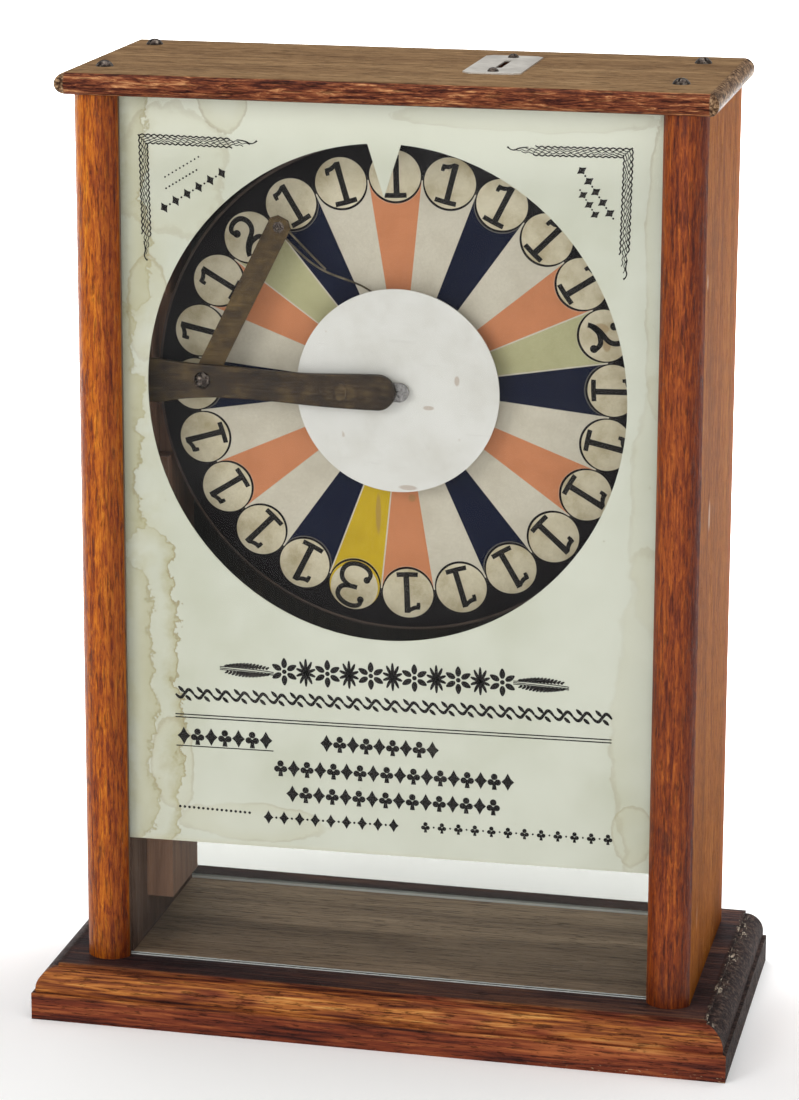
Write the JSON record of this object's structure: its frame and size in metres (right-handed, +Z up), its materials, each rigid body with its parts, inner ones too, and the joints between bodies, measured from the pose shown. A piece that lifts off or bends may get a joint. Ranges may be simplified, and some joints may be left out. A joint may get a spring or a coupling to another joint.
{
  "type": "number wheel trade stimulator",
  "caption": "Glazed wooden countertop case with a coin slot in its top and a coin-driven printed number wheel, brass bearing arm and click spring behind a round window.",
  "frame": {"origin": "centre of the base board's footprint, on its underside", "axes": "+Z up; the glazed front and the sign face -Y; +X is the right-hand side as the customer sees it"},
  "size_m": [0.32, 0.1486, 0.4382],
  "materials": {
    "oak_case": "old varnished oak, red-brown, open grain",
    "oak_base": "dark worn varnish, rubbed on the edges",
    "oak_top": "dulled varnish, dusty grey-brown",
    "dark_board": "thin softwood board stained nearly black",
    "pine_inner": "unfinished brown softwood",
    "pane": "clear old sheet glass with ground edges",
    "sign_paper": "yellowed printed paper, water stained",
    "wheel_board": "thin wooden disc, raw edge, darkened",
    "wheel_print": "printed and varnished paper in five colours",
    "white_enamel": "white paint, lightly marked",
    "old_brass": "dull brown tarnish",
    "turned_brass": "turned, lightly tarnished",
    "tin": "tinned sheet, scuffed",
    "steel": "bright drawn steel, dulled",
    "dark_steel": "darkened iron screw heads"
  },
  "bodies": {
    "case": {"base_board": "oak_base", "left_side_board": "oak_case", "right_side_board": "oak_case", "top_board": "oak_top", "top_screws": "dark_steel", "base_screws": "dark_steel", "front_glass": "pane", "rear_glass": "pane", "back_panel": "dark_board", "sign_card": "sign_paper", "slot_plate": "tin", "slot_plate_screws": "dark_steel", "coin_chute": "tin", "chute_tacks": "dark_steel", "front_arm": "old_brass", "arm_screws": "dark_steel", "arm_tongue": "steel", "tongue_rivet": "old_brass", "click_strip": "old_brass", "strip_screw": "dark_steel", "strip_nut": "steel", "strip_rivet": "steel", "left_cleat": "pine_inner", "right_cleat": "pine_inner", "cleat_screws": "dark_steel", "rear_strap": "dark_steel", "rear_bush": "turned_brass", "strap_screws": "dark_steel", "turn_button_screws": "dark_steel"},
    "wheel": {"wheel_disc": "wheel_board", "wheel_face": "wheel_print", "wheel_hub": "turned_brass", "hub_rivets": "steel", "click_pins": "turned_brass", "drive_pins": "steel", "hub_disc": "white_enamel", "axle": "steel", "front_washer": "turned_brass", "axle_collar": "turned_brass", "collar_set_screw": "dark_steel"},
    "click_spring": {"click_wire": "turned_brass"},
    "button_left_lower": {"turn_button_left_lower": "tin"},
    "button_left_upper": {"turn_button_left_upper": "tin"},
    "button_right_lower": {"turn_button_right_lower": "tin"},
    "button_right_upper": {"turn_button_right_upper": "tin"}
  },
  "joints": [
    {"name": "wheel_spin", "type": "hinge", "parent": "case", "child": "wheel", "pos_m": [0, -0.0147, 0.2929], "axis": [0, 1, 0], "continuous": true},
    {"name": "click_flick", "type": "hinge", "parent": "case", "child": "click_spring", "pos_m": [-0.0535, -0.02595, 0.3653], "axis": [0, -1, 0], "range_deg": [0, 4], "stiffness_Nm_per_rad": 0.02},
    {"name": "button_left_lower_turn", "type": "hinge", "parent": "case", "child": "button_left_lower", "pos_m": [-0.13025, 0.0605, 0.105], "axis": [0, 1, 0], "range_deg": [0, 90]},
    {"name": "button_left_upper_turn", "type": "hinge", "parent": "case", "child": "button_left_upper", "pos_m": [-0.13025, 0.0605, 0.3405], "axis": [0, 1, 0], "range_deg": [0, 90]},
    {"name": "button_right_lower_turn", "type": "hinge", "parent": "case", "child": "button_right_lower", "pos_m": [0.13025, 0.0605, 0.105], "axis": [0, -1, 0], "range_deg": [0, 90]},
    {"name": "button_right_upper_turn", "type": "hinge", "parent": "case", "child": "button_right_upper", "pos_m": [0.13025, 0.0605, 0.3405], "axis": [0, -1, 0], "range_deg": [0, 90]}
  ]
}
